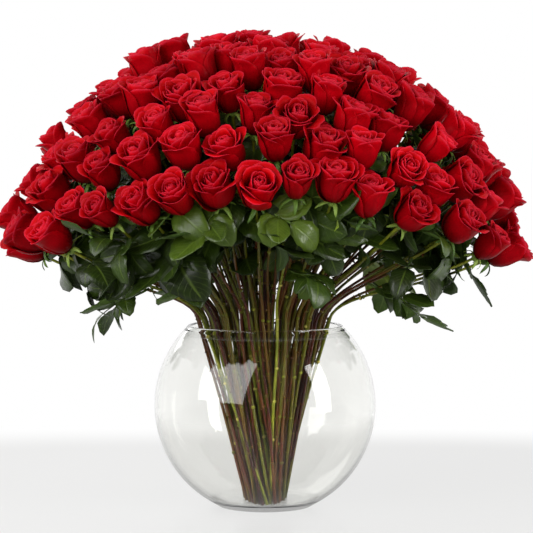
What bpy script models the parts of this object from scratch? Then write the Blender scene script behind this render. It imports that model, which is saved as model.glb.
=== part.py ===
"""Twelve dozen long-stemmed red roses in a round glass bowl vase.

Metres, +Z up. The origin is the middle of the vase's underside and -Y is the front. The vase is one
turned shell. The roses stand in 24 bunches of six, and each bunch is one node of stems, pressed together
at the foot, and one node of blooms, pressed together at the head. Loose leaves fill the ring under the
blooms. Every solid keeps a small gap to the next.
"""
import math

import bmesh
import bpy
import numpy as np
from mathutils import Matrix, Vector
from mathutils.geometry import interpolate_bezier

# Vase
BOWL_RADIUS = 0.1524
BOWL_CENTRE_Z = 0.1415
WALL = 0.004
FLOOR_Z = 0.012
RIM_Z = 0.2515
BASE_RADIUS = 0.052
BASE_BEND = ((0.0635, 0.0021), (0.0705, 0.0062))
VASE_SIDES = 40
WALL_STEPS = 7

# Dome of blooms: half axes of the surface that the bloom centres lie on
DOME = Vector((0.335, 0.260, 0.302))
DOME_CENTRE_Z = 0.325
SIDE_EDGE_Z = 0.357
FRONT_EDGE_Z = 0.452
AIM_Z = 0.185
LEVEL_SPREAD = 0.009
ROSES = 144
BUNCH = 6
RINGS = (18, 66, 144)
BLOOM_SPACING = 0.066

# Bloom
BLOOM_RADIUS = 0.030
BLOOM_DEPTH = 0.050
BLOOM_SIDES = 6
BLOOM_PROFILE = ((0.0, 0.20), (0.50, 1.0), (1.0, 0.60))
BLOOM_BOND = 0.005

# Stems
STEM_RADIUS = 0.0025
STEM_SIDES = 4
FOOT = Vector((0.028, 0.064))
NECK = Vector((0.0945, 0.070))
NECK_Z = RIM_Z + 0.008
STEM_STEPS = 3
STEM_APART = 0.0063
FOOT_TWIST = math.radians(40)
NECK_REACH, HEAD_REACH = 0.18, 0.36
FOOT_Z = FLOOR_Z + 0.0013
STEM_BOND = 0.0012
STEM_BOND_Z = FLOOR_Z + 0.009

# Leaves
LEAVES = 11
LEAF_LENGTH = 0.102
LEAFLET_LENGTH = 0.040
LEAFLET_WIDTH = 0.0205
SIDE_LEAFLETS = ((0.014, math.radians(68)), (0.038, math.radians(62)))
LEAF_THICKNESS = 0.0012
LEAF_AT = 0.5
LEAF_ALONG, LEAF_BELOW = 0.72, 0.85

BOND_SIDES = 3
GAP = 0.0004
GOLDEN_ANGLE = math.pi * (3 - math.sqrt(5))
SEED = 12


def clear_scene():
    for thing in list(bpy.data.objects):
        bpy.data.objects.remove(thing)


def make_material(name, colour, roughness, transmission=0.0):
    material = bpy.data.materials.new(name)
    material.use_nodes = True
    shader = material.node_tree.nodes["Principled BSDF"]
    shader.inputs["Base Color"].default_value = (*colour, 1)
    shader.inputs["Roughness"].default_value = roughness
    shader.inputs["Metallic"].default_value = 0.0
    shader.inputs["Transmission Weight"].default_value = transmission
    material.diffuse_color = (*colour, 1)
    return material


def add_object(name, bm, material):
    """Makes an object of a bmesh, with its normals facing out."""
    bmesh.ops.recalc_face_normals(bm, faces=bm.faces)
    mesh = bpy.data.meshes.new(name)
    bm.to_mesh(mesh)
    bm.free()
    mesh.materials.append(material)
    thing = bpy.data.objects.new(name, mesh)
    bpy.context.collection.objects.link(thing)
    return thing


def unite(node, helper_bm, material):
    """Joins a second set of shells to a node, so that they are one body."""
    helper = add_object(node.name + "_joined", helper_bm, material)
    helper.hide_render = True
    helper.display_type = "WIRE"
    union = node.modifiers.new("Union", "BOOLEAN")
    union.operation = "UNION"
    union.solver = "EXACT"
    union.use_self = True
    union.object = helper


def arc(radius, centre_z, start_z, end_z, steps):
    """Points (radius, height) along a ball's outline, from one height to another."""
    start = math.asin((start_z - centre_z) / radius)
    end = math.asin((end_z - centre_z) / radius)
    angles = [start + (end - start) * i / steps for i in range(steps + 1)]
    return [(radius * math.cos(a), centre_z + radius * math.sin(a)) for a in angles]


def make_vase(material):
    inside = arc(BOWL_RADIUS - WALL, BOWL_CENTRE_Z, FLOOR_Z, RIM_Z - WALL / 4, WALL_STEPS)
    outside = arc(BOWL_RADIUS, BOWL_CENTRE_Z, RIM_Z - WALL / 4, BASE_BEND[-1][1], WALL_STEPS)
    lip = [((inside[-1][0] + outside[0][0]) / 2, RIM_Z)]
    base = list(reversed(BASE_BEND[:-1])) + [(BASE_RADIUS, 0)]
    profile = [(0, FLOOR_Z), *inside, *lip, *outside, *base, (0, 0)]
    bm = bmesh.new()
    points = [bm.verts.new((radius, 0, z)) for radius, z in profile]
    edges = [bm.edges.new(pair) for pair in zip(points, points[1:])]
    bmesh.ops.spin(
        bm,
        geom=points + edges,
        cent=(0, 0, 0),
        axis=(0, 0, 1),
        angle=math.tau,
        steps=VASE_SIDES,
        use_merge=True,
    )
    bmesh.ops.remove_doubles(bm, verts=bm.verts, dist=1e-6)
    vase = add_object("vase", bm, material)
    vase.data.shade_smooth()
    vase.data.set_sharp_from_angle(angle=math.radians(35))


def on_dome(points):
    """Moves points onto the dome's surface, and up to its lower edge where they are below it."""
    unit = (points - (0, 0, DOME_CENTRE_Z)) / np.array(DOME)
    unit /= np.linalg.norm(unit, axis=1)[:, None]
    flat = np.linalg.norm(unit[:, :2], axis=1)
    edge_z = FRONT_EDGE_Z + (SIDE_EDGE_Z - FRONT_EDGE_Z) * (unit[:, 0] / flat) ** 2
    lowest = (edge_z - DOME_CENTRE_Z) / DOME[2]
    height = np.maximum(unit[:, 2], lowest)
    unit[:, :2] *= (np.sqrt(1 - height**2) / flat)[:, None]
    unit[:, 2] = height
    return unit * np.array(DOME) + (0, 0, DOME_CENTRE_Z)


def bloom_centres(share, turn):
    """Blooms start in a sunflower pattern, and push each other apart until they are evenly spaced."""
    sine = np.sqrt(share) * 0.98
    start = np.stack([sine * np.cos(turn), sine * np.sin(turn), np.sqrt(1 - sine**2)], axis=1)
    points = on_dome(start * np.array(DOME) + (0, 0, DOME_CENTRE_Z))
    for _ in range(120):
        offset = points[:, None] - points[None]
        distance = np.linalg.norm(offset, axis=2) + np.eye(ROSES)
        push = np.maximum(BLOOM_SPACING - distance, 0) / distance
        np.fill_diagonal(push, 0)
        points = on_dome(points + 0.2 * (offset * push[..., None]).sum(axis=1))
    return points


def inside_ellipse(points, half_axes):
    scaled = points / np.array(half_axes)
    return points / np.maximum(np.linalg.norm(scaled, axis=1), 1)[:, None]


def stem_ends(share, turn):
    """Where each stem stands on the floor and passes the neck, with no two stems passing through each other."""
    unit = np.sqrt(share)[:, None] * np.stack([np.cos(turn), np.sin(turn)], axis=1)
    turned = turn + FOOT_TWIST
    foot = np.sqrt(share)[:, None] * np.stack([np.cos(turned), np.sin(turned)], axis=1) * np.array(FOOT)
    neck = unit * np.array(NECK)
    for _ in range(400):
        low = foot[:, None] - foot[None]
        rise = neck[:, None] - neck[None] - low
        nearest = np.clip(-(low * rise).sum(2) / ((rise**2).sum(2) + np.eye(ROSES)), 0, 1)[..., None]
        offset = low + rise * nearest
        distance = np.linalg.norm(offset, axis=2) + np.eye(ROSES)
        push = np.maximum(STEM_APART - distance, 0) / distance
        np.fill_diagonal(push, 0)
        shift = 0.35 * offset * push[..., None]
        foot = inside_ellipse(foot + (shift * (1 - nearest)).sum(axis=1), FOOT)
        neck = inside_ellipse(neck + (shift * nearest).sum(axis=1), NECK)
    return foot, neck


class Rose:
    """One rose: its bloom's centre, axis and base, and its stem's path."""

    def __init__(self, centre, foot, neck, turn, share):
        self.centre = Vector(centre)
        self.axis = (self.centre - Vector((0, 0, AIM_Z))).normalized()
        self.turn = turn
        self.share = share
        self.base = self.centre - self.axis * BLOOM_DEPTH * 0.6
        self.foot = Vector((*foot, FOOT_Z))
        self.neck = Vector((*neck, NECK_Z))

    def stem_path(self, steps):
        """Straight up to the neck, then a bend out to the bloom."""
        lean = (self.neck - self.foot).normalized()
        end = self.base - self.axis * 2 * GAP
        far = (end - self.neck).length
        rise, drop = lean * far * NECK_REACH, self.axis * far * HEAD_REACH
        bend = interpolate_bezier(self.neck, self.neck + rise, end - drop, end, steps + 1)
        return [self.foot, *bend]

    def lowness(self):
        """How far out and down the stem passes, which is most for the stems at the bouquet's underside."""
        middle = self.stem_path(2)[2]
        return middle.xy.length - middle.z


def arrange_roses():
    """The roses in bunches of six neighbours, from the middle of the vase outwards."""
    index = np.arange(ROSES)
    share, turn = (index + 0.5) / ROSES, (index * GOLDEN_ANGLE) % math.tau
    centres = bloom_centres(share, turn)
    foot, neck = stem_ends(share, turn)
    level = np.random.default_rng(SEED).uniform(-LEVEL_SPREAD, LEVEL_SPREAD, ROSES)
    roses = []
    for i in range(ROSES):
        rose = Rose(centres[i], foot[i], neck[i], turn[i], share[i])
        rose.centre += rose.axis * level[i]
        rose.base += rose.axis * level[i]
        roses.append(rose)
    bunches = []
    for first, last in zip((0, *RINGS), RINGS):
        ring = sorted(roses[first:last], key=lambda rose: rose.turn)
        bunches += [ring[i : i + BUNCH] for i in range(0, len(ring), BUNCH)]
    return bunches


def loft(bm, rings):
    """Closes a stack of vertex rings into a solid."""
    for low, high in zip(rings, rings[1:]):
        for i, corner in enumerate(low):
            after = (i + 1) % len(low)
            bm.faces.new((corner, low[after], high[after], high[i]))
    bm.faces.new(reversed(rings[0]))
    bm.faces.new(rings[-1])


def add_tube(bm, path, radius, sides):
    """A rod with flat ends along a path."""
    rings = []
    for i, point in enumerate(path):
        along = (path[min(i + 1, len(path) - 1)] - path[max(i - 1, 0)]).normalized()
        turn = along.to_track_quat("Z", "Y").to_matrix().to_4x4()
        place = Matrix.Translation(point) @ turn
        ring = bmesh.ops.create_circle(bm, segments=sides, radius=radius, matrix=place)["verts"]
        rings.append(ring)
    loft(bm, rings)


def add_bloom(bm, rose, strangers):
    """A bud shape round the rose's axis, cut flat where blooms of other bunches press on it."""
    own = bmesh.new()
    turn = rose.axis.to_track_quat("Z", "Y").to_matrix().to_4x4()
    place = Matrix.Translation(rose.base) @ turn
    rings = []
    for along, width in BLOOM_PROFILE:
        matrix = place @ Matrix.Translation((0, 0, along * BLOOM_DEPTH))
        radius = width * BLOOM_RADIUS
        rings.append(bmesh.ops.create_circle(own, segments=BLOOM_SIDES, radius=radius, matrix=matrix)["verts"])
    loft(own, rings)
    for other in strangers:
        apart = other.centre - rose.centre
        cut = bmesh.ops.bisect_plane(
            own,
            geom=own.verts[:] + own.edges[:] + own.faces[:],
            plane_co=rose.centre + apart / 2 - apart.normalized() * GAP / 2,
            plane_no=apart,
            clear_outer=True,
        )
        edges = [part for part in cut["geom_cut"] if isinstance(part, bmesh.types.BMEdge)]
        bmesh.ops.holes_fill(own, edges=edges)
    mesh = bpy.data.meshes.new("bloom")
    own.to_mesh(mesh)
    own.free()
    bm.from_mesh(mesh)
    bpy.data.meshes.remove(mesh)


def bonds_between(points, radius):
    """Short rods that join each point to its nearest neighbour, until all are joined."""
    bm = bmesh.new()
    joined, loose = points[:1], points[1:]
    while loose:
        pairs = [(one, other) for one in joined for other in loose]
        one, other = min(pairs, key=lambda pair: (pair[0] - pair[1]).length)
        add_tube(bm, [one, other], radius, BOND_SIDES)
        joined.append(other)
        loose.remove(other)
    return bm


def make_blooms(name, bunch, roses, material):
    """Six blooms, bonded where they press together."""
    blooms = bmesh.new()
    for rose in bunch:
        strangers = [
            other
            for other in roses
            if other not in bunch and (other.centre - rose.centre).length < 2.4 * BLOOM_RADIUS
        ]
        add_bloom(blooms, rose, strangers)
    bonds = bonds_between([rose.centre for rose in bunch], BLOOM_BOND)
    unite(add_object(name, blooms, material), bonds, material)


def make_stems(name, bunch, material):
    """Six stems, bonded near the foot where they press together."""
    stems = bmesh.new()
    for rose in bunch:
        steps = STEM_STEPS if rose.share > RINGS[1] / ROSES else 2
        add_tube(stems, rose.stem_path(steps), STEM_RADIUS, STEM_SIDES)
    at = (STEM_BOND_Z - FOOT_Z) / (NECK_Z - FOOT_Z)
    bonds = bonds_between([rose.foot.lerp(rose.neck, at) for rose in bunch], STEM_BOND)
    unite(add_object(name, stems, material), bonds, material)


def leaf_outline():
    """Half of a rose leaf's outline: a stalk, two side leaflets and half of the end leaflet."""
    stalk = 0.0012
    points = [(stalk, 0)]
    lens = ((0.35, -0.5), (0.7, -0.36), (1, 0), (0.7, 0.36), (0.35, 0.5))
    for root, angle in SIDE_LEAFLETS:
        across, along = math.sin(angle), math.cos(angle)
        points.append((stalk, root - stalk))
        for x, y in lens:
            x, y = x * LEAFLET_LENGTH, y * LEAFLET_WIDTH
            points.append((stalk + x * across - y * along, root + x * along + y * across))
        points.append((stalk, root + stalk))
    for x, y in ((0, stalk / LEAFLET_WIDTH), (0.3, 0.5), (0.65, 0.4)):
        points.append((y * LEAFLET_WIDTH, LEAF_LENGTH - LEAFLET_LENGTH * (1 - x)))
    return points


def make_leaf(name, rose, material):
    """A compound leaf that hangs outside the outermost stems, its stalk ending on one of them."""
    before, after = rose.stem_path(STEM_STEPS)[2:4]
    spot = before.lerp(after, LEAF_AT)
    along = (after - before).normalized()
    outward = Vector((rose.centre.x, rose.centre.y, 0)).normalized()
    below = (along.cross(Vector((0, 0, 1)).cross(outward))).normalized()
    if below.z > 0:
        below.negate()
    tip = (along * LEAF_ALONG + below * LEAF_BELOW).normalized()
    across = tip.cross(below).normalized()
    flat = across.cross(tip).normalized()
    start = spot + below * (STEM_RADIUS + GAP + LEAF_THICKNESS)
    frame = Matrix((across, tip, flat)).transposed().to_4x4()
    place = Matrix.Translation(start) @ frame
    half = leaf_outline()
    outline = half + [(0, LEAF_LENGTH)] + [(-x, y) for x, y in reversed(half)]
    bm = bmesh.new()
    face = bm.faces.new([bm.verts.new((x, y, 0)) for x, y in outline])
    raised = bmesh.ops.extrude_face_region(bm, geom=[face], use_keep_orig=True)["geom"]
    moved = [part for part in raised if isinstance(part, bmesh.types.BMVert)]
    bmesh.ops.translate(bm, verts=moved, vec=(0, 0, -LEAF_THICKNESS))
    bmesh.ops.transform(bm, matrix=place, verts=bm.verts)
    add_object(name, bm, material)


def main():
    clear_scene()
    glass = make_material("clear_glass", (0.90, 0.95, 0.94), 0.03, transmission=1.0)
    petals = make_material("red_petals", (0.55, 0.0, 0.015), 0.55)
    stems = make_material("green_stems", (0.16, 0.17, 0.03), 0.6)
    leaves = make_material("rose_leaves", (0.03, 0.08, 0.02), 0.5)
    make_vase(glass)
    bunches = arrange_roses()
    roses = [rose for bunch in bunches for rose in bunch]
    for number, bunch in enumerate(bunches, 1):
        make_stems(f"stems_{number:02d}", bunch, stems)
        make_blooms(f"blooms_{number:02d}", bunch, roses, petals)
    for number in range(LEAVES):
        slice_of_vase = [rose for rose in roses if int(rose.turn / math.tau * LEAVES) == number]
        make_leaf(f"leaf_{number + 1:02d}", max(slice_of_vase, key=Rose.lowness), leaves)


main()
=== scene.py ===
import math
import random

import bmesh
import bpy
import numpy as np
from mathutils import Matrix, Quaternion, Vector
from mathutils.geometry import interpolate_bezier


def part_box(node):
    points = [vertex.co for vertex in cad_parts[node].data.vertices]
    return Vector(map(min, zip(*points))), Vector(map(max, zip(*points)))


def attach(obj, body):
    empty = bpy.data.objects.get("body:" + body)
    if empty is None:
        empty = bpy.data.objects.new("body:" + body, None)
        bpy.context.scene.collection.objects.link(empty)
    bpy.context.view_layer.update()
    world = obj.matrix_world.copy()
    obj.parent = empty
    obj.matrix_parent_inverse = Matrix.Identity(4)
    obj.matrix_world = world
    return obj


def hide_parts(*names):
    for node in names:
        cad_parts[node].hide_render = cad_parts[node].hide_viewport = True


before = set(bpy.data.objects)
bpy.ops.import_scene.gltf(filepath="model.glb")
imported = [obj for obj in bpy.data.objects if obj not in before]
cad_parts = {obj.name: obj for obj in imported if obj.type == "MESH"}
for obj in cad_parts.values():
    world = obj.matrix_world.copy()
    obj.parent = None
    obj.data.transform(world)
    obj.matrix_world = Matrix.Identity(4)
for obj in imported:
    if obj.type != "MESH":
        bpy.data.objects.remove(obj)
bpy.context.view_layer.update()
print("frame loaded:", len(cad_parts), "nodes")

dice = random.Random(41)
goldenAngle = math.pi * (3 - math.sqrt(5))
up = Vector((0, 0, 1))


def linear(code):  # sRGB hex to the linear values that a socket takes
    parts = [int(code[at:at + 2], 16) / 255 for at in (1, 3, 5)]
    return (*[part / 12.92 if part <= 0.04045 else ((part + 0.055) / 1.055) ** 2.4 for part in parts], 1)


def addNode(tree, kind, settings={}, links={}):  # a setting is a socket's value, a property or a ramp's stops
    node = tree.nodes.new(kind)
    for name, value in settings.items():
        if name == "stops":
            elements = node.color_ramp.elements
            while len(elements) < len(value):
                elements.new(0.5)
            for element, (place, code) in zip(elements, value):
                element.position, element.color = place, linear(code)
        elif isinstance(name, str) and hasattr(node, name):
            setattr(node, name, value)
        else:
            node.inputs[name].default_value = value
    for name, socket in links.items():
        tree.links.new(socket, node.inputs[name])
    return node


def newMaterial(name):
    material = bpy.data.materials.new(name)
    material.use_nodes = True
    tree = material.node_tree
    tree.nodes.clear()
    return material, tree


def finishPiece(name, bm, materials, nodes=(), solid=None):
    # the mesh already sits where it belongs, so the object stays at the origin
    mesh = bpy.data.meshes.new(name)
    for face in bm.faces:
        face.smooth = True
    bm.to_mesh(mesh)
    bm.free()
    piece = bpy.data.objects.new(name, mesh)
    bpy.context.scene.collection.objects.link(piece)
    for material in materials:
        mesh.materials.append(material)
    if solid:
        wall = piece.modifiers.new("wall", "SOLIDIFY")
        wall.thickness, wall.offset, wall.material_offset = solid, -1, len(materials) - 1
    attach(piece, "root")
    if nodes:
        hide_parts(*nodes)


def keepShape(name, bm):  # a shape that is placed many times
    mesh = bpy.data.meshes.new(name)
    bm.to_mesh(mesh)
    bm.free()
    return mesh


def placeShape(bm, shape, matrix, tone):
    first = len(bm.verts)
    copy = shape.copy()
    copy.transform(matrix)
    bm.from_mesh(copy)
    bpy.data.meshes.remove(copy)
    bm.verts.ensure_lookup_table()
    toneLayer = bm.verts.layers.float["tone"]
    for vert in bm.verts[first:]:
        vert[toneLayer] = tone


def startPiece():
    bm = bmesh.new()
    bm.loops.layers.uv.new("UVMap")
    bm.verts.layers.float.new("tone")
    return bm


def startSheet(bm, across, along):  # a flat unwrapped grid, from -1 to 1 each way
    return bmesh.ops.create_grid(bm, x_segments=across, y_segments=along, size=1, calc_uvs=True)["verts"]


def growTube(bm, path, radii, sides, tones):  # a ring drawn along a path, with both ends closed
    toneLayer = bm.verts.layers.float["tone"]
    turn = (path[1] - path[0]).to_track_quat("Z", "Y")
    places = []
    for at, radius in enumerate(radii):
        ahead = (path[min(at + 1, len(path) - 1)] - path[max(at - 1, 0)]).normalized()
        turn = (turn @ up).rotation_difference(ahead) @ turn
        places.append(Matrix.Translation(path[at]) @ turn.to_matrix().to_4x4() @ Matrix.Scale(radius, 4))
    ring = bmesh.ops.create_circle(bm, segments=sides, radius=1, matrix=places[0])["verts"]
    edges = list({edge for vert in ring for edge in vert.link_edges})
    bmesh.ops.contextual_create(bm, geom=edges)
    for tone, before, after in zip(tones, places, places[1:]):
        for vert in ring:
            vert[toneLayer] = tone
        grown = bmesh.ops.extrude_edge_only(bm, edges=edges)["geom"]
        ring = [part for part in grown if isinstance(part, bmesh.types.BMVert)]
        inRing = set(ring)
        edges = [part for part in grown if isinstance(part, bmesh.types.BMEdge) and set(part.verts) <= inRing]
        bmesh.ops.transform(bm, matrix=after @ before.inverted(), verts=ring)
    for vert in ring:
        vert[toneLayer] = tones[-1]
    bmesh.ops.contextual_create(bm, geom=edges)


# How the roses stand: each has a place on the dome, a neck in the mouth of the vase and a foot on its floor

arrangement = {
    "roses": 144, "bunch": 6, "rings": (18, 66, 144), "seed": 12,
    "domeAxes": (0.335, 0.260, 0.302), "domeCentre": 0.325, "domeShare": 0.98,
    "sideEdge": 0.357, "frontEdge": 0.452,  # height of the lowest heads
    "aim": 0.185, "spacing": 0.066, "levelSpread": 0.009, "headSettling": (120, 0.2),
    "foot": (0.028, 0.064), "footHeight": 0.0133, "neck": (0.0945, 0.070), "neckHeight": 0.2595,
    "stemsApart": 0.0063, "stemSettling": (400, 0.35), "footTwist": 40,
    "neckReach": 0.18, "headReach": 0.36, "headDepth": 0.050, "baseShare": 0.6, "gap": 0.0004,
}


def onDome(points):
    axes, middle = np.array(arrangement["domeAxes"]), (0, 0, arrangement["domeCentre"])
    unit = (points - middle) / axes
    unit /= np.linalg.norm(unit, axis=1)[:, None]
    flat = np.linalg.norm(unit[:, :2], axis=1)
    front, side = arrangement["frontEdge"], arrangement["sideEdge"]
    edge = front + (side - front) * (unit[:, 0] / flat) ** 2
    height = np.maximum(unit[:, 2], (edge - middle[2]) / axes[2])
    unit[:, :2] *= (np.sqrt(1 - height ** 2) / flat)[:, None]
    unit[:, 2] = height
    return unit * axes + middle


def headCentres(share, turn):
    axes, middle = np.array(arrangement["domeAxes"]), (0, 0, arrangement["domeCentre"])
    sine = np.sqrt(share) * arrangement["domeShare"]
    unit = np.stack([sine * np.cos(turn), sine * np.sin(turn), np.sqrt(1 - sine ** 2)], axis=1)
    points = onDome(unit * axes + middle)
    rounds, pace = arrangement["headSettling"]
    for _ in range(rounds):
        offset = points[:, None] - points[None]
        distance = np.linalg.norm(offset, axis=2) + np.eye(len(points))
        push = np.maximum(arrangement["spacing"] - distance, 0) / distance
        np.fill_diagonal(push, 0)
        points = onDome(points + pace * (offset * push[..., None]).sum(axis=1))
    return points


def insideOval(points, oval):
    out = np.maximum(np.linalg.norm(points / np.array(oval), axis=1), 1)
    return points / out[:, None]


def footAndNeck(share, turn):
    turned = turn + math.radians(arrangement["footTwist"])  # the stems spiral, as in a hand-tied bunch
    out = np.sqrt(share)[:, None]
    foot = out * np.stack([np.cos(turned), np.sin(turned)], axis=1) * np.array(arrangement["foot"])
    neck = out * np.stack([np.cos(turn), np.sin(turn)], axis=1) * np.array(arrangement["neck"])
    same = np.eye(len(foot))
    rounds, pace = arrangement["stemSettling"]
    for _ in range(rounds):
        low = foot[:, None] - foot[None]
        rise = neck[:, None] - neck[None] - low
        nearest = np.clip(-(low * rise).sum(2) / ((rise ** 2).sum(2) + same), 0, 1)[..., None]
        offset = low + rise * nearest
        distance = np.linalg.norm(offset, axis=2) + same
        push = np.maximum(arrangement["stemsApart"] - distance, 0) / distance
        np.fill_diagonal(push, 0)
        shift = pace * offset * push[..., None]
        foot = insideOval(foot + (shift * (1 - nearest)).sum(axis=1), arrangement["foot"])
        neck = insideOval(neck + (shift * nearest).sum(axis=1), arrangement["neck"])
    return foot, neck


def arrangeRoses():
    index = np.arange(arrangement["roses"])
    share, turn = (index + 0.5) / len(index), index * goldenAngle % math.tau
    foot, neck = footAndNeck(share, turn)
    centres = headCentres(share, turn)
    spread = arrangement["levelSpread"]
    levels = np.random.default_rng(arrangement["seed"]).uniform(-spread, spread, len(index))
    roses = []
    for at in index:
        centre = Vector(centres[at])
        axis = (centre - up * arrangement["aim"]).normalized()
        base = centre - axis * arrangement["headDepth"] * arrangement["baseShare"]
        roses.append({
            "centre": centre + axis * levels[at], "base": base + axis * levels[at],
            "axis": axis, "turn": turn[at],
            "foot": Vector((*foot[at], arrangement["footHeight"])),
            "neck": Vector((*neck[at], arrangement["neckHeight"])),
        })
    bunches = []
    for first, last in zip((0, *arrangement["rings"]), arrangement["rings"]):
        ring = sorted(roses[first:last], key=lambda rose: rose["turn"])
        bunches += [ring[at:at + arrangement["bunch"]] for at in range(0, len(ring), arrangement["bunch"])]
    return bunches


def stemPath(rose, steps):
    lean = (rose["neck"] - rose["foot"]).normalized()
    end = rose["base"] - rose["axis"] * 2 * arrangement["gap"]
    far = (end - rose["neck"]).length
    rise, drop = lean * far * arrangement["neckReach"], rose["axis"] * far * arrangement["headReach"]
    return [rose["foot"], *interpolate_bezier(rose["neck"], rose["neck"] + rise, end - drop, end, steps + 1)]


bunches = arrangeRoses()
roses = [rose for bunch in bunches for rose in bunch]
strayed = 0
for number, bunch in enumerate(bunches, 1):
    low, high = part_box(f"blooms_{number:02d}")
    middle = (Vector(low) + Vector(high)) / 2
    heads = [rose["centre"] for rose in bunch]
    own = Vector([(min(head[axis] for head in heads) + max(head[axis] for head in heads)) / 2 for axis in range(3)])
    strayed = max(strayed, (own - middle).length)
print("roses arranged:", len(roses), "and the bunches stray from the frame by", round(strayed * 1000, 1), "mm")


# Rose heads: a rolled centre in a spiral of petals, the outer ones opened with their rims turned over

roseHead = {
    "shapes": 14, "petals": 23, "gridAcross": 6, "gridUp": 6, "thickness": 0.0005, "openness": (0.72, 1.12),
    "up": (0, 0.25, 0.55, 0.8, 1),  # heights along a petal that the leans below are given at
    "ages": (0, 0.35, 0.6, 0.85, 1),  # from the innermost petal to the outermost
    "leans": (
        (28, 10, -4, -14, -22), (46, 20, -2, -9, -4), (60, 27, 0, -3, 24), (70, 33, 2, 4, 62), (76, 37, 4, 12, 96)),
    "leanJitter": (3, 3, 2, 5, 20), "openShare": (1, 1, 1, 1.4, 1.8),
    "halfWidths": (0.009, 0.015, 0.019, 0.023, 0.024), "widths": (0.32, 0.80, 1.0, 0.97, 0.66),
    "root": (0.0012, 0.0034), "lengths": (0.0400, 0.0540), "corner": 0.13, "cornerRoll": 0.55, "spiral": 0.0011,
    "wave": 0.0013, "sizes": (1.04, 1.27), "tilt": 20, "tones": (0.82, 1.12),
    "steps": 9, "tightest": 0.0006, "tightWrap": 0.003, "widestWrap": 2.5,
}


def petalPoint(across, along, petal):
    settings = roseHead
    reach = along * (1 - settings["corner"] * abs(across) ** 3)
    radius, height, steps = petal["root"], petal["rise"], settings["steps"]
    for step in range(steps):
        at = reach * (step + 0.5) / steps
        lean = np.interp(at, settings["up"], petal["leans"])
        lean *= 1 + settings["cornerRoll"] * petal["age"] * across ** 2 * max(0, at - 0.6) / 0.4
        radius += math.sin(lean) * petal["length"] * reach / steps
        height += math.cos(lean) * petal["length"] * reach / steps
    width = petal["halfWidth"] * np.interp(along, settings["up"], settings["widths"])
    wrap = width / max(radius * petal["flat"], settings["tightWrap"])
    angle = min(wrap, settings["widestWrap"]) * across
    radius += settings["spiral"] * across * (0.4 + petal["age"]) + petal["flare"] * abs(across) ** 3 * along
    ripple = math.sin(3.1 * across * petal["ripples"] + petal["phase"])  # about one wave across the rim
    radius += ripple * along ** 4 * settings["wave"] * (0.4 + petal["age"])
    height += 0.6 * math.sin(2.3 * across + 2 * petal["phase"]) * along ** 3 * settings["wave"]
    radius, angle = max(radius, settings["tightest"]), petal["turn"] + angle
    return Vector((radius * math.cos(angle), radius * math.sin(angle), height))


def makeHeadShape(number):
    settings = roseHead
    openness = dice.uniform(*settings["openness"])
    bm = startPiece()
    hand = 1 if number % 2 else -1
    for count in range(settings["petals"]):
        age = (count / (settings["petals"] - 1)) ** 0.9
        leans = np.array([np.interp(age, settings["ages"], column) for column in zip(*settings["leans"])])
        leans += np.array(settings["leanJitter"]) * dice.uniform(-1, 1)
        leans *= 1 + (openness - 1) * age * np.array(settings["openShare"])
        petal = {
            "age": age, "leans": np.radians(leans),
            "turn": hand * (count * goldenAngle + dice.uniform(-0.16, 0.16)),
            "root": np.interp(age, (0, 1), settings["root"]),
            "rise": 0.005 * (1 - age) + dice.uniform(0, 0.0015),
            "length": np.interp(age, (0, 1), settings["lengths"]) * dice.uniform(0.95, 1.05),
            "halfWidth": np.interp(age, settings["ages"], settings["halfWidths"]) * dice.uniform(0.94, 1.06),
            "flat": 1 + 0.22 * age * dice.random(), "flare": 0.0035 * age * dice.random(),
            "ripples": dice.uniform(0.7, 1.4), "phase": dice.uniform(0, 6.3),
        }
        for vert in startSheet(bm, settings["gridAcross"], settings["gridUp"]):
            vert.co = petalPoint(vert.co.x, (vert.co.y + 1) / 2, petal)
    return keepShape(f"headShape{number}", bm)


def petalFinish(name, stops, sheen, rough):
    # rose petal: velvety skin of tiny domed cells, so a soft pale sheen at grazing angles and no hard gloss
    material, tree = newMaterial(name)
    uv = addNode(tree, "ShaderNodeUVMap", {"uv_map": "UVMap"})
    split = addNode(tree, "ShaderNodeSeparateXYZ", {}, {0: uv.outputs[0]})
    # colour along the petal from foot to rim: darker toward the foot as painted shade in the folds, lighter at the rim
    # as a painted highlight on the turned lips
    shadedFootLitRim = addNode(tree, "ShaderNodeValToRGB", {"stops": stops}, {0: split.outputs["Y"]})
    tone = addNode(tree, "ShaderNodeAttribute", {"attribute_name": "tone"})
    place = addNode(tree, "ShaderNodeTexCoord")
    clouds = {"Scale": 55.0, "Detail": 3.0}  # 18 mm across
    cloud = addNode(tree, "ShaderNodeTexNoise", clouds, {"Vector": place.outputs["Object"]})
    mottle = addNode(tree, "ShaderNodeMapRange", {1: 0.3, 2: 0.7, 3: 0.80, 4: 1.10}, {0: cloud.outputs[0]})
    own = addNode(tree, "ShaderNodeMath", {"operation": "MULTIPLY"}, {0: mottle.outputs[0], 1: tone.outputs["Fac"]})
    scaled = {0: shadedFootLitRim.outputs[0], "Scale": own.outputs[0]}
    red = addNode(tree, "ShaderNodeVectorMath", {"operation": "SCALE"}, scaled)
    fine = (34, 2.2, 1)  # veins about 1.3 mm apart
    stretch = addNode(tree, "ShaderNodeMapping", {"Scale": fine}, {"Vector": uv.outputs[0]})
    vein = addNode(tree, "ShaderNodeTexNoise", {"Scale": 1.0, "Detail": 2.0}, {"Vector": stretch.outputs[0]})
    bump = addNode(tree, "ShaderNodeBump", {"Strength": 0.28, "Distance": 0.0006}, {"Height": vein.outputs[0]})
    skin = addNode(tree, "ShaderNodeBsdfPrincipled", {
        "Roughness": rough, "Sheen Weight": sheen, "Sheen Roughness": 0.30, "Sheen Tint": linear("#FF5A78"),
        "Specular IOR Level": 0.07, "IOR": 1.42,
    }, {"Base Color": red.outputs[0], "Normal": bump.outputs[0]})
    addNode(tree, "ShaderNodeOutputMaterial", {}, {"Surface": skin.outputs[0]})
    return material


# both reds darken toward the foot as painted shade in the folds and lighten at the rim as a painted highlight on the
# turned lips
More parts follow.
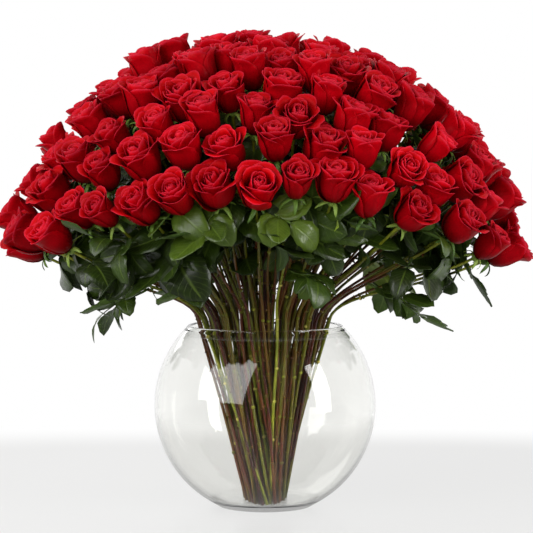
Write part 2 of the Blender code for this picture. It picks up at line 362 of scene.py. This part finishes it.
backReds = [(0, "#560403"), (0.3, "#8A000A"), (0.7, "#AC000E"), (0.93, "#BA0210"), (1, "#CC2238")]  # foot to rim
faceReds = [(0, "#330002"), (0.35, "#700004"), (0.75, "#A60005"), (0.95, "#B8020A"), (1, "#CE1E32")]
petalBack = petalFinish("rosePetalBack", backReds, 0.016, 0.42)
petalFace = petalFinish("rosePetalFace", faceReds, 0.020, 0.50)

headShapes = [makeHeadShape(number) for number in range(roseHead["shapes"])]
for number, bunch in enumerate(bunches, 1):
    bm = startPiece()
    for rose in bunch:
        size = dice.uniform(*roseHead["sizes"])
        sway = math.radians(roseHead["tilt"]) * dice.random()
        facing = rose["axis"].to_track_quat("Z", "Y")
        hinge = Vector((math.cos(dice.uniform(0, math.tau)), math.sin(dice.uniform(0, math.tau)), 0))
        turn = facing @ Quaternion(hinge, sway) @ Quaternion(up, dice.uniform(0, math.tau))
        rose["place"] = Matrix.Translation(rose["base"]) @ turn.to_matrix().to_4x4() @ Matrix.Scale(size, 4)
        placeShape(bm, dice.choice(headShapes), rose["place"], dice.uniform(*roseHead["tones"]))
    materials, replaced = [petalBack, petalFace], [f"blooms_{number:02d}"]
    finishPiece(f"rose_heads_{number:02d}", bm, materials, replaced, roseHead["thickness"])
print("rose heads made")


# Sepals: the hip under each head and its five narrow green sepals, curled back

sepal = {
    "shapes": 6, "count": 5, "length": 0.021, "halfWidth": 0.0036, "thickness": 0.0005,
    "startLean": 78, "curl": (0.9, 2.4), "root": 0.0032, "rise": 0.0015, "steps": 8,
    "hipRadius": 0.0046, "hipHeight": 0.0095, "hipDrop": 0.0015,
}


def makeSepalShape(number):
    bm = startPiece()
    startLean, steps = math.radians(sepal["startLean"]), sepal["steps"]
    for count in range(sepal["count"]):
        turn = count * math.tau / sepal["count"] + dice.uniform(-0.2, 0.2)
        curl = dice.uniform(*sepal["curl"])
        length = sepal["length"] * dice.uniform(0.8, 1.1)
        for vert in startSheet(bm, 2, 6):
            across, along = vert.co.x, (vert.co.y + 1) / 2
            width = sepal["halfWidth"] * (1 - along) ** 0.6 * (0.75 + 0.5 * along) * across
            radius, height = sepal["root"], sepal["rise"]
            for step in range(steps):
                lean = startLean + curl * along * (step + 0.5) / steps
                radius += math.sin(lean) * length * along / steps
                height += math.cos(lean) * length * along / steps
            height -= abs(across) * 0.0006
            aside = 0.003 * math.sin((startLean + curl * along) * 2) * along ** 2
            vert.co = Matrix.Rotation(turn, 3, "Z") @ Vector((radius, width + aside, height))
    tall = Matrix.Diagonal((1, 1, sepal["hipHeight"] / sepal["hipRadius"] / 2, 1))
    hip = Matrix.Translation((0, 0, -sepal["hipDrop"])) @ tall
    bmesh.ops.create_uvsphere(bm, u_segments=8, v_segments=6, radius=sepal["hipRadius"], matrix=hip)
    return keepShape(f"sepalShape{number}", bm)


def greenSkin(name, stops, rough, clouds):
    # young green growth: smooth waxy skin, mottled from yellow-green to darker green
    material, tree = newMaterial(name)
    tone = addNode(tree, "ShaderNodeAttribute", {"attribute_name": "tone"})
    place = addNode(tree, "ShaderNodeTexCoord")
    cloud = addNode(tree, "ShaderNodeTexNoise", {"Scale": clouds, "Detail": 4.0}, {"Vector": place.outputs["Object"]})
    sway = addNode(tree, "ShaderNodeMapRange", {1: 0.3, 2: 0.7, 3: -0.13, 4: 0.13}, {0: cloud.outputs[0]})
    level = addNode(tree, "ShaderNodeMath", {"operation": "ADD"}, {0: tone.outputs["Fac"], 1: sway.outputs[0]})
    tint = addNode(tree, "ShaderNodeValToRGB", {"stops": stops}, {0: level.outputs[0]})
    bump = addNode(tree, "ShaderNodeBump", {"Strength": 0.3, "Distance": 0.0004}, {"Height": cloud.outputs[0]})
    skin = addNode(tree, "ShaderNodeBsdfPrincipled", {"Roughness": rough, "Specular IOR Level": 0.4},
                   {"Base Color": tint.outputs[0], "Normal": bump.outputs[0]})
    addNode(tree, "ShaderNodeOutputMaterial", {}, {"Surface": skin.outputs[0]})
    return material


sepalSkin = greenSkin("roseSepal", [(0, "#3C5A1C"), (0.5, "#5F7F2C"), (1, "#8FA648")], 0.5, 140.0)
sepalShapes = [makeSepalShape(number) for number in range(sepal["shapes"])]
for number, bunch in enumerate(bunches, 1):
    bm = startPiece()
    for rose in bunch:
        placeShape(bm, dice.choice(sepalShapes), rose["place"], dice.uniform(0.1, 0.9))
    finishPiece(f"sepals_{number:02d}", bm, [sepalSkin], (), sepal["thickness"])
print("sepals made")


# Stems: cut long, stripped of leaves in the water, each with thorns and the pale scars of its leaves

stem = {
    "steps": 22, "straightSteps": 8, "sides": 8, "sway": 0.0022, "hipDepth": 0.002,
    "shares": (0, 0.6, 0.96, 1), "radii": (0.0023, 0.0018, 0.0020, 0.0030),  # foot, middle, neck of the hip, hip
    "tones": (0.05, 0.14, 0.24, 0.32, 0.38, 0.44, 0.50, 0.56, 0.64, 0.76),  # brown to yellow green
    "headToneAndLight": 0.80, "greenAndLightFrom": 0.55,
    "scars": (0.07, 0.13, 0.19, 0.26, 0.33, 0.41), "longest": 0.5, "scarSize": 0.0034,
    "thorns": 5, "thornLength": 0.0048, "thornRadius": 0.0014, "thornLean": 98,
}


def pointAlong(path, share):  # where a stem is, and which way it runs, at a share of its length
    lengths = [0]
    for before, after in zip(path, path[1:]):
        lengths.append(lengths[-1] + (after - before).length)
    at = share * lengths[-1]
    for step in range(len(path) - 1):
        if at <= lengths[step + 1]:
            part = (at - lengths[step]) / (lengths[step + 1] - lengths[step])
            return path[step].lerp(path[step + 1], part), (path[step + 1] - path[step]).normalized()
    return path[-1], (path[-1] - path[-2]).normalized()


def fullPath(rose):
    straightSteps = stem["straightSteps"]
    path = stemPath(rose, stem["steps"] - straightSteps)
    path = [path[0].lerp(path[1], step / straightSteps) for step in range(straightSteps)] + path[1:]
    phase = dice.uniform(0, math.tau)
    side = Vector((dice.uniform(-1, 1), dice.uniform(-1, 1), 0)).normalized()
    for at in range(1, len(path) - 1):  # no stem is quite straight
        path[at] = path[at] + side * math.sin(phase + at * 0.75) * stem["sway"] * min(at, 5) / 5
    return path + [rose["place"] @ Vector((0, 0, stem["hipDepth"]))]


def stemFinish():
    # rose stem: smooth waxy bark, olive to red brown, striped along its length, and greener and paler toward the head,
    # partly its young growth and partly painted light on the upper stems
    material, tree = newMaterial("roseStemBark")
    tone = addNode(tree, "ShaderNodeAttribute", {"attribute_name": "tone"})
    place = addNode(tree, "ShaderNodeTexCoord")
    longer = addNode(tree, "ShaderNodeMapping", {"Scale": (1, 1, 0.16)}, {"Vector": place.outputs["Object"]})
    streaks = {"Scale": 260.0, "Detail": 5.0, "Roughness": 0.6}  # 4 mm by 25 mm
    streak = addNode(tree, "ShaderNodeTexNoise", streaks, {"Vector": longer.outputs[0]})
    patch = addNode(tree, "ShaderNodeTexNoise", {"Scale": 28.0, "Detail": 2.0}, {"Vector": place.outputs["Object"]})
    both = addNode(tree, "ShaderNodeMath", {"operation": "ADD"}, {0: streak.outputs[0], 1: patch.outputs[0]})
    sway = addNode(tree, "ShaderNodeMapRange", {1: 0.7, 2: 1.3, 3: -0.15, 4: 0.15}, {0: both.outputs[0]})
    level = addNode(tree, "ShaderNodeMath", {"operation": "ADD"}, {0: tone.outputs["Fac"], 1: sway.outputs[0]})
    browns = [(0, "#300E08"), (0.16, "#5A240C"), (0.32, "#63420C"), (0.5, "#5C580C")]
    greens = [(0.68, "#697012"), (0.84, "#949828"), (1, "#D6C564")]
    tint = addNode(tree, "ShaderNodeValToRGB", {"stops": browns + greens}, {0: level.outputs[0]})
    bump = addNode(tree, "ShaderNodeBump", {"Strength": 0.4, "Distance": 0.0006}, {"Height": streak.outputs[0]})
    bark = addNode(tree, "ShaderNodeBsdfPrincipled", {"Roughness": 0.42, "Specular IOR Level": 0.5},
                   {"Base Color": tint.outputs[0], "Normal": bump.outputs[0]})
    addNode(tree, "ShaderNodeOutputMaterial", {}, {"Surface": bark.outputs[0]})
    return material


def aroundStem(path, share):  # a frame on the stem, turned about it at random
    spot, along = pointAlong(path, share)
    turn = along.to_track_quat("Z", "Y").to_matrix().to_4x4()
    return Matrix.Translation(spot) @ turn @ Matrix.Rotation(dice.uniform(0, math.tau), 4, "Z")


def makeStem(bm, rose):
    path = fullPath(rose)
    rose["path"] = path
    own, greenAndLightFrom = dice.choice(stem["tones"]), stem["greenAndLightFrom"]
    tones, radii = [], []
    for at in range(len(path)):
        share = at / (len(path) - 1)
        # toward the head the tone climbs to a pale yellow green: partly young growth, partly painted light where the
        # upper stems are lit
        tones.append(own + (stem["headToneAndLight"] - own) * max(0, share - greenAndLightFrom) / (1 - greenAndLightFrom))
        radii.append(np.interp(share, stem["shares"], stem["radii"]))
    growTube(bm, path, radii, stem["sides"], tones)
    toneLayer = bm.verts.layers.float["tone"]
    for height in stem["scars"]:
        frameHere = aroundStem(path, min(0.95, (height + dice.uniform(-0.02, 0.02)) / stem["longest"]))
        shape = frameHere @ Matrix.Translation((0.0006, 0, 0)) @ Matrix.Diagonal((1, 0.86, 0.75, 1))
        radius = stem["scarSize"] * dice.uniform(0.8, 1.05)
        knob = bmesh.ops.create_uvsphere(bm, u_segments=6, v_segments=4, radius=radius, matrix=shape)["verts"]
        scar = min(1, own + dice.uniform(0.12, 0.42))
        for vert in knob:
            vert[toneLayer] = scar
    lean, length = Matrix.Rotation(math.radians(stem["thornLean"]), 4, "Y"), stem["thornLength"]
    for _ in range(stem["thorns"]):
        frameHere = aroundStem(path, dice.uniform(0.18, 0.92))
        out = Matrix.Translation((0, 0, 0.0018 + length / 2)) @ Matrix.Diagonal((1.5, 0.7, 1, 1))
        thorn = bmesh.ops.create_cone(bm, cap_ends=True, segments=5, radius1=stem["thornRadius"], radius2=0.0001,
                                      depth=length, matrix=frameHere @ lean @ out)["verts"]
        for vert in thorn:
            vert[toneLayer] = min(1, own * 0.6 + 0.1)


for first in range(0, len(bunches), 2):  # the stems of neighbouring bunches cross on their way down
    pair = bunches[first] + bunches[first + 1]
    feet = [rose["foot"] for rose in pair]
    dice.shuffle(feet)
    for rose, foot in zip(pair, feet):
        rose["foot"] = foot

stemBark = stemFinish()
for number, bunch in enumerate(bunches, 1):
    bm = startPiece()
    for rose in bunch:
        makeStem(bm, rose)
    bmesh.ops.recalc_face_normals(bm, faces=bm.faces)
    finishPiece(f"rose_stems_{number:02d}", bm, [stemBark], [f"stems_{number:02d}"])
print("stems made")


# Leaves: compound, with toothed glossy leaflets folded along the midrib

leaf = {
    "shapes": 8, "gridAcross": 4, "gridUp": 8, "length": 0.050, "halfWidth": 0.0186, "fold": 0.16, "tooth": 0.045,
    "steps": 8, "stalk": 0.0009, "thickness": 0.0004, "loose": 11, "looseStalk": 0.052, "looseSize": 0.95,
    "sizes": (0.9, 1.5), "farthest": 0.262,
    "nearHead": 1.3, "headDrop": (0.026, 0.062), "headStalk": (0.020, 0.034),
    "inCollar": 0.95, "collar": (0.352, 0.445), "collarReach": 0.235, "pairs": (1, 2), "sprayStalk": (0.036, 0.056),
}


def makeLeafletShape(number):
    bm = startPiece()
    droop, twist, cup = dice.uniform(-0.5, 1.5), dice.uniform(-0.7, 0.7), leaf["fold"] * dice.uniform(0.3, 1.6)
    length, half = leaf["length"] * dice.uniform(0.9, 1.1), leaf["halfWidth"] * dice.uniform(0.85, 1.15)
    steps = leaf["steps"]
    for vert in startSheet(bm, leaf["gridAcross"], leaf["gridUp"]):
        across, along = vert.co.x, (vert.co.y + 1) / 2
        row = round(along * leaf["gridUp"])
        outline = math.sin(math.pi * along ** 0.86) ** 0.62 if 0 < along < 1 else 0.02
        if abs(across) > 0.9 and 0 < row < leaf["gridUp"]:
            outline *= 1 + leaf["tooth"] * (1 if row % 2 else -1)
        width = half * outline * across
        forward, lift = 0.0, 0.0
        for step in range(steps):
            lean = droop * along * (step + 0.5) / steps
            forward += math.cos(lean) * length * along / steps
            lift -= math.sin(lean) * length * along / steps
        lift += abs(width) * cup + 0.0012 * math.sin(9 * along + 4 * across) * abs(across)
        side = Matrix.Rotation(twist * along, 3, "Y") @ Vector((width, 0, 0))
        vert.co = Vector((side.x, forward, lift + side.z))
    return keepShape(f"leafletShape{number}", bm)


leafletShapes = [makeLeafletShape(number) for number in range(leaf["shapes"])]


def addSpray(bm, spot, tip, face, size, pairs, stalkLength, tone):
    # a stalk from spot toward tip, with side leaflets in pairs and one at the end
    if abs(spot.y + tip.y * (stalkLength + leaf["length"] * size)) > leaf["farthest"]:  # it hangs instead
        tip = Vector((tip.x, tip.y * 0.2, tip.z - 0.2)).normalized()
    across = tip.cross(face).normalized()
    face = across.cross(tip).normalized()
    bend = dice.uniform(-0.25, 0.25)
    path = [spot + tip * stalkLength * step / 5 + face * bend * stalkLength * (step / 5) ** 2 for step in range(6)]
    growTube(bm, path, [leaf["stalk"] * (1.5 - 0.12 * step) for step in range(6)], 5, [tone] * 6)
    joints = [(path[-1], 0)]
    for pair in range(pairs):
        joints += [(path[-1].lerp(path[0], 0.36 + 0.46 * pair / pairs), side) for side in (-1, 1)]
    for joint, side in joints:
        ahead = tip
        if side:
            ahead = (tip + across * side * dice.uniform(1.1, 2.0) + face * dice.uniform(-0.3, 0.3)).normalized()
        over = face + across * dice.uniform(-0.35, 0.35)
        right = ahead.cross(over).normalized()
        over = right.cross(ahead).normalized()
        own = size * (1 if not side else dice.uniform(0.72, 0.92))
        place = Matrix.Translation(joint) @ Matrix((right, ahead, over)).transposed().to_4x4() @ Matrix.Scale(own, 4)
        placeShape(bm, dice.choice(leafletShapes), place, tone + dice.uniform(-0.06, 0.06))


def leafFinish(name, stops, rough, veinCode, veinShare, clear):
    # rose leaf: a waxy upper side with a clear gloss and pale veins, and a dull paler underside
    material, tree = newMaterial(name)
    uv = addNode(tree, "ShaderNodeUVMap", {"uv_map": "UVMap"})
    split = addNode(tree, "ShaderNodeSeparateXYZ", {}, {0: uv.outputs[0]})
    fromRib = addNode(tree, "ShaderNodeMath", {"operation": "SUBTRACT", 1: 0.5}, {0: split.outputs["X"]})
    offRib = addNode(tree, "ShaderNodeMath", {"operation": "ABSOLUTE"}, {0: fromRib.outputs[0]})
    rib = addNode(tree, "ShaderNodeMapRange", {1: 0.012, 2: 0.05, 3: 1.0, 4: 0.0}, {0: offRib.outputs[0]})
    inputs = {0: offRib.outputs[0], 2: split.outputs["Y"]}
    slope = addNode(tree, "ShaderNodeMath", {"operation": "MULTIPLY_ADD", 1: -0.62}, inputs)
    pitch = 58.0  # nine side veins, about 5 mm apart
    comb = addNode(tree, "ShaderNodeMath", {"operation": "MULTIPLY", 1: pitch}, {0: slope.outputs[0]})
    wave = addNode(tree, "ShaderNodeMath", {"operation": "COSINE"}, {0: comb.outputs[0]})
    side = addNode(tree, "ShaderNodeMapRange", {1: 0.90, 2: 1.0, 3: 0.0, 4: 0.5}, {0: wave.outputs[0]})
    veins = addNode(tree, "ShaderNodeMath", {"operation": "MAXIMUM"}, {0: rib.outputs[0], 1: side.outputs[0]})
    tone = addNode(tree, "ShaderNodeAttribute", {"attribute_name": "tone"})
    place = addNode(tree, "ShaderNodeTexCoord")
    patches = {"Scale": 90.0, "Detail": 3.0}  # 11 mm across
    cloud = addNode(tree, "ShaderNodeTexNoise", patches, {"Vector": place.outputs["Object"]})
    sway = addNode(tree, "ShaderNodeMapRange", {1: 0.3, 2: 0.7, 3: -0.1, 4: 0.1}, {0: cloud.outputs[0]})
    level = addNode(tree, "ShaderNodeMath", {"operation": "ADD"}, {0: tone.outputs["Fac"], 1: sway.outputs[0]})
    green = addNode(tree, "ShaderNodeValToRGB", {"stops": stops}, {0: level.outputs[0]})
    amount = addNode(tree, "ShaderNodeMath", {"operation": "MULTIPLY", 1: veinShare}, {0: veins.outputs[0]})
    veined = {"data_type": "RGBA", 7: linear(veinCode)}
    tint = addNode(tree, "ShaderNodeMix", veined, {0: amount.outputs[0], 6: green.outputs[0]})
    sunk = {"Strength": 0.5, "Distance": 0.0007, "invert": True}
    bump = addNode(tree, "ShaderNodeBump", sunk, {"Height": veins.outputs[0]})
    waxy = {"Roughness": rough, "Specular IOR Level": 0.38, "Coat Weight": clear, "Coat Roughness": 0.2}
    skin = addNode(tree, "ShaderNodeBsdfPrincipled", waxy, {"Base Color": tint.outputs[2], "Normal": bump.outputs[0]})
    addNode(tree, "ShaderNodeOutputMaterial", {}, {"Surface": skin.outputs[0]})
    return material


topGreens = [(0, "#1B260A"), (0.35, "#334712"), (0.7, "#54691C"), (1, "#92AA38")]
underGreens = [(0, "#34481C"), (0.35, "#4C6628"), (0.7, "#668434"), (1, "#98B048")]
leafTop = leafFinish("roseLeafTop", topGreens, 0.34, "#6C8430", 0.35, 0.16)
leafUnder = leafFinish("roseLeafUnderside", underGreens, 0.55, "#8AA058", 0.40, 0.0)
leafSides = [leafTop, leafUnder]

# a compound leaf in place of each loose leaf of the frame
for number in range(1, leaf["loose"] + 1):
    low, high = (Vector(corner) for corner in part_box(f"leaf_{number:02d}"))
    middle = (low + high) / 2
    points = [vert.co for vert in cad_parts[f"leaf_{number:02d}"].data.vertices]
    nearest = min(roses, key=lambda rose: min((point - middle).length for point in rose["path"]))
    spot = min(points, key=lambda point: min((point - other).length for other in nearest["path"]))
    tip = (middle - spot).normalized()
    face = (Vector((middle.x, middle.y, 0)).normalized() + up * 0.5).normalized()
    bm = startPiece()
    addSpray(bm, spot, tip, face, leaf["looseSize"], 2, leaf["looseStalk"], dice.uniform(0.2, 0.5))
    replaced = [f"leaf_{number:02d}"]
    finishPiece(f"rose_leaf_{number:02d}", bm, leafSides, replaced, leaf["thickness"])


def addHeadLeaf(bm, rose, length):  # an upper leaf, between the heads
    spot, along = pointAlong(rose["path"], 1 - dice.uniform(*leaf["headDrop"]) / length)
    aside = (Matrix.Rotation(dice.uniform(0, math.tau), 3, along) @ along.orthogonal()).normalized()
    tip = (aside + along * dice.uniform(-0.5, 0.15)).normalized()
    sway = Vector((dice.uniform(-0.5, 0.5), dice.uniform(-0.5, 0.5), dice.uniform(-0.3, 0.3)))
    face = (rose["axis"] + sway).normalized()
    tone = 0.75 if dice.random() < 0.04 else dice.uniform(0.0, 0.35)
    addSpray(bm, spot, tip, face, dice.uniform(*leaf["sizes"]), 1, dice.uniform(*leaf["headStalk"]), tone)


def addCollarLeaf(bm, rose, outward):  # a lower leaf, in the collar under the dome
    height = dice.uniform(*leaf["collar"])
    near = [point for point in rose["path"]
            if abs(point.z - height) < 0.03 and math.hypot(point.x, point.y) < leaf["collarReach"]]
    if not near:
        return
    spot = dice.choice(near)
    aside = (Matrix.Rotation(dice.uniform(-1.3, 1.3), 3, "Z") @ outward).normalized()
    tip = (aside + up * dice.uniform(-0.5, 0.8)).normalized()
    level = outward * 0.7 + up * dice.uniform(0.1, 0.9)
    face = (level + Vector((dice.uniform(-0.4, 0.4), dice.uniform(-0.4, 0.4), 0))).normalized()
    tone = 0.92 if dice.random() < 0.08 else dice.uniform(0.0, 0.6)
    size, pairs = dice.uniform(*leaf["sizes"]), dice.choice(leaf["pairs"])
    addSpray(bm, spot, tip, face, size, pairs, dice.uniform(*leaf["sprayStalk"]), tone)


for number, bunch in enumerate(bunches, 1):
    bm = startPiece()
    for rose in bunch:
        outward = Vector((rose["centre"].x, rose["centre"].y, 0)).normalized()
        length = sum((after - before).length for before, after in zip(rose["path"], rose["path"][1:]))
        for _ in range(int(leaf["nearHead"] + dice.random())):
            addHeadLeaf(bm, rose, length)
        for _ in range(int(leaf["inCollar"] + dice.random())):
            addCollarLeaf(bm, rose, outward)
    finishPiece(f"leaf_sprays_{number:02d}", bm, leafSides, (), leaf["thickness"])
print("leaves made")


# Vase: a blown round bowl with a cut mouth and a thick flat foot

bowl = {
    "radius": 0.1524, "centre": 0.1415, "wall": 0.004, "floor": 0.012, "rim": 0.2515, "foot": 0.052,
    "footBend": ((0.0635, 0.0021), (0.0705, 0.0062)), "around": 128, "arc": 40,
    "water": 0.2385, "skim": 0.0004, "meniscus": 0.0010,
}


def arcPoints(radius, lowest, highest):  # points on a circle round the bowl's middle, from low to high
    centre, steps = bowl["centre"], bowl["arc"]
    start, end = math.asin((lowest - centre) / radius), math.asin((highest - centre) / radius)
    angles = [start + (end - start) * step / steps for step in range(steps + 1)]
    return [Vector((radius * math.cos(angle), 0, centre + radius * math.sin(angle))) for angle in angles]


def turnProfile(points):  # a closed body turned from a half outline that starts and ends on the axis
    bm = bmesh.new()
    verts = [bm.verts.new(point) for point in points]
    edges = [bm.edges.new(pair) for pair in zip(verts, verts[1:])]
    bmesh.ops.spin(bm, geom=verts + edges, axis=up, cent=(0, 0, 0), angle=math.tau, steps=bowl["around"],
                   use_merge=True)
    bmesh.ops.remove_doubles(bm, verts=bm.verts, dist=0.00001)
    bmesh.ops.recalc_face_normals(bm, faces=bm.faces)
    return bm


def glassFinish():
    # clear soda glass, blown and fire polished: colourless face on, grey green toward the outline, partly the glass's
    # own tint along the wall and partly a painted dark edge for the surroundings seen through it
    material, tree = newMaterial("clearBlownGlass")
    edge = addNode(tree, "ShaderNodeLayerWeight", {"Blend": 0.12})
    # darker toward the outline: partly the glass's own tint, partly painted shade standing for surroundings bent into
    # view at the edge
    greys = [(0, "#FCFCFA"), (0.45, "#F9F9F7"), (0.66, "#DCE0DD"), (0.86, "#7A837E")]
    tint = addNode(tree, "ShaderNodeValToRGB", {"stops": greys}, {0: edge.outputs["Facing"]})
    polished = {"Roughness": 0.0, "IOR": 1.45, "Transmission Weight": 1.0}
    glass = addNode(tree, "ShaderNodeBsdfPrincipled", polished, {"Base Color": tint.outputs[0]})
    clear = addNode(tree, "ShaderNodeBsdfTransparent", {"Color": linear("#FAFBFA")})  # for light that passes through
    rays = addNode(tree, "ShaderNodeLightPath")
    shaders = {0: rays.outputs["Is Shadow Ray"], 1: glass.outputs[0], 2: clear.outputs[0]}
    mix = addNode(tree, "ShaderNodeMixShader", {}, shaders)
    addNode(tree, "ShaderNodeOutputMaterial", {}, {"Surface": mix.outputs[0]})
    return material


def waterFinish():
    # still clean water: seen only by the gloss of its surface and the line where it meets the glass
    material, tree = newMaterial("stillClearWater")
    clear = addNode(tree, "ShaderNodeBsdfTransparent", {"Color": linear("#FEFEFE")})
    gloss = addNode(tree, "ShaderNodeBsdfPrincipled", {"Base Color": linear("#F4F6F4"), "Roughness": 0.02, "IOR": 1.33})
    edge = addNode(tree, "ShaderNodeLayerWeight", {"Blend": 0.5})
    grazing = {1: 0.70, 2: 1.0, 3: 0.0, 4: 0.35}
    share = addNode(tree, "ShaderNodeMapRange", grazing, {0: edge.outputs["Facing"]})
    mix = addNode(tree, "ShaderNodeMixShader", {}, {0: share.outputs[0], 1: clear.outputs[0], 2: gloss.outputs[0]})
    addNode(tree, "ShaderNodeOutputMaterial", {}, {"Surface": mix.outputs[0]})
    return material


outer, inner, lip = bowl["radius"], bowl["radius"] - bowl["wall"], bowl["wall"] / 2
bendRadius, bendTop = bowl["footBend"][-1]
footLine = [(0, 0), (bowl["foot"] * 0.5, 0), (bowl["foot"], 0), *bowl["footBend"]]
outside = [Vector((x, 0, z)) for x, z in footLine]
outside += [point for point in arcPoints(outer, bendTop, bowl["rim"] - lip) if point.x > bendRadius]
inside = arcPoints(inner, bowl["floor"], bowl["rim"] - lip)
lipMiddle, half = (outside[-1] + inside[-1]) / 2, (outside[-1] - inside[-1]) / 2
turns = [math.pi * step / 8 for step in range(1, 8)]
rounded = [lipMiddle + half * math.cos(angle) + up * lip * math.sin(angle) for angle in turns]
floorLine = [Vector((inside[0].x * 0.5, 0, bowl["floor"])), Vector((0, 0, bowl["floor"]))]
bm = turnProfile(outside + rounded + inside[::-1] + floorLine)
finishPiece("vase_glass", bm, [glassFinish()], ["vase"])

level, skim = bowl["water"], bowl["skim"]  # the water stands a hair off the glass
body = arcPoints(inner - skim, bowl["floor"] + skim, level)
edge, drop = body[-1].x, bowl["meniscus"]  # and climbs it a little
climb = [(edge - 0.0015, level - drop * 0.7), (edge - 0.004, level - drop), (0, level - drop)]
bm = turnProfile([Vector((0, 0, bowl["floor"] + skim)), *body, *[Vector((x, 0, z)) for x, z in climb]])
finishPiece("water", bm, [waterFinish()])
print("vase and water made")


# Studio: a white table painted grey near the vase as painted shade, fading into an evenly glowing white backdrop, with
# soft light from the upper left

studio = {
    "cameraPlace": (0.002, -3.06, 0.5), "tiltDown": 3.144, "lens": 150.6,
    "shadedNearFloor": "#A09F9B", "farFloor": "#FFFFFF", "fadeFrom": 0.58, "fadeTo": 0.86, "glow": 0.68,
    "fill": 0.32, "mirrored": 0.05, "darkSide": (-0.5, 0.4),
}


def dimAfterBounce(tree, side):
    # white to look at, straight or through the glass, but dim as a fill, and dark in reflections on its front side
    rays = addNode(tree, "ShaderNodeLightPath")
    fill = addNode(tree, "ShaderNodeMapRange", {3: 1.0, 4: studio["fill"]}, {0: rays.outputs["Diffuse Depth"]})
    start, end = studio["darkSide"]
    dark = addNode(tree, "ShaderNodeMapRange", {1: start, 2: end, 3: studio["mirrored"], 4: 1.0}, {0: side})
    mirrored = addNode(tree, "ShaderNodeMapRange", {3: 1.0}, {0: rays.outputs["Glossy Depth"], 4: dark.outputs[0]})
    return addNode(tree, "ShaderNodeMath", {"operation": "MULTIPLY"}, {0: fill.outputs[0], 1: mirrored.outputs[0]})


def floorFinish():
    material, tree = newMaterial("paleTableTop")
    place = addNode(tree, "ShaderNodeTexCoord")
    split = addNode(tree, "ShaderNodeSeparateXYZ", {}, {0: place.outputs["Object"]})
    powers = []
    for axis in "XY":  # fourth powers give a square with round corners, so the far edge runs level
        off = addNode(tree, "ShaderNodeMath", {"operation": "ABSOLUTE"}, {0: split.outputs[axis]})
        powers.append(addNode(tree, "ShaderNodeMath", {"operation": "POWER", 1: 4.0}, {0: off.outputs[0]}))
    both = addNode(tree, "ShaderNodeMath", {"operation": "ADD"}, {0: powers[0].outputs[0], 1: powers[1].outputs[0]})
    far = addNode(tree, "ShaderNodeMath", {"operation": "POWER", 1: 0.25}, {0: both.outputs[0]})
    # near the vase the table is painted grey as painted shade and mixed with a painted glow that lifts it; farther out
    # an even white glow stands as the backdrop
    fading = {1: studio["fadeFrom"], 2: studio["fadeTo"], 3: studio["glow"], 4: 1.0, "interpolation_type": "SMOOTHSTEP"}
    fade = addNode(tree, "ShaderNodeMapRange", fading, {0: far.outputs[0]})
    satin = {"Base Color": linear(studio["shadedNearFloor"]), "Roughness": 0.35, "Specular IOR Level": 0.3}
    near = addNode(tree, "ShaderNodeBsdfPrincipled", satin)
    strength = dimAfterBounce(tree, split.outputs["Y"]).outputs[0]
    glow = addNode(tree, "ShaderNodeEmission", {"Color": linear(studio["farFloor"])}, {"Strength": strength})
    mix = addNode(tree, "ShaderNodeMixShader", {}, {0: fade.outputs[0], 1: near.outputs[0], 2: glow.outputs[0]})
    addNode(tree, "ShaderNodeOutputMaterial", {}, {"Surface": mix.outputs[0]})
    return material


bm = bmesh.new()
bmesh.ops.create_circle(bm, cap_ends=True, segments=96, radius=9)
mesh = bpy.data.meshes.new("floor")
bm.to_mesh(mesh)
bm.free()
floor = bpy.data.objects.new("floor", mesh)
bpy.context.scene.collection.objects.link(floor)
mesh.materials.append(floorFinish())

world = bpy.data.worlds.new("whiteStudio")
bpy.context.scene.world = world
world.use_nodes = True
world.node_tree.nodes.clear()
way = addNode(world.node_tree, "ShaderNodeTexCoord")
split = addNode(world.node_tree, "ShaderNodeSeparateXYZ", {}, {0: way.outputs["Generated"]})
strength = dimAfterBounce(world.node_tree, split.outputs["Y"]).outputs[0]
sky = addNode(world.node_tree, "ShaderNodeBackground", {"Color": linear("#FFFFFF")}, {"Strength": strength})
addNode(world.node_tree, "ShaderNodeOutputWorld", {}, {"Surface": sky.outputs[0]})

lamps = {
    "keySoftbox": {"place": (-2.2, -2.0, 1.9), "aim": (0, 0, 0.36), "size": (3.4, 3.0), "power": 116},
    "rightStrip": {"place": (1.35, -0.75, 0.65), "aim": (0, 0, 0.15), "size": (0.5, 1.3), "power": 15},
    "topBank": {"place": (0.1, 0.4, 2.6), "aim": (0, 0, 0.4), "size": (1.4, 0.9), "power": 2},
    "backBank": {"place": (-0.9, 2.4, 1.5), "aim": (0, 0, 0.45), "size": (1.8, 1.4), "power": 11},
    "frontFill": {
        "place": (-0.5, -2.6, 0.22), "aim": (0, 0, 0.30), "size": (1.6, 0.5), "power": 10, "mirrored": False},
}
for name, settings in lamps.items():
    light = bpy.data.lights.new(name, "AREA")
    light.shape, (light.size, light.size_y) = "RECTANGLE", settings["size"]
    light.energy = settings["power"]
    lamp = bpy.data.objects.new(name, light)
    lamp.location = settings["place"]
    lamp.rotation_euler = (Vector(settings["aim"]) - Vector(settings["place"])).to_track_quat("-Z", "Y").to_euler()
    lamp.visible_glossy = lamp.visible_transmission = settings.get("mirrored", True)
    bpy.context.scene.collection.objects.link(lamp)

camera = bpy.data.objects.new("camera", bpy.data.cameras.new("camera"))
camera.data.lens = studio["lens"]
camera.location = studio["cameraPlace"]
camera.rotation_euler = (math.radians(90 - studio["tiltDown"]), 0, 0)
bpy.context.scene.collection.objects.link(camera)
bpy.context.scene.camera = camera
bpy.context.scene.view_settings.view_transform = "Standard"
print("studio set")
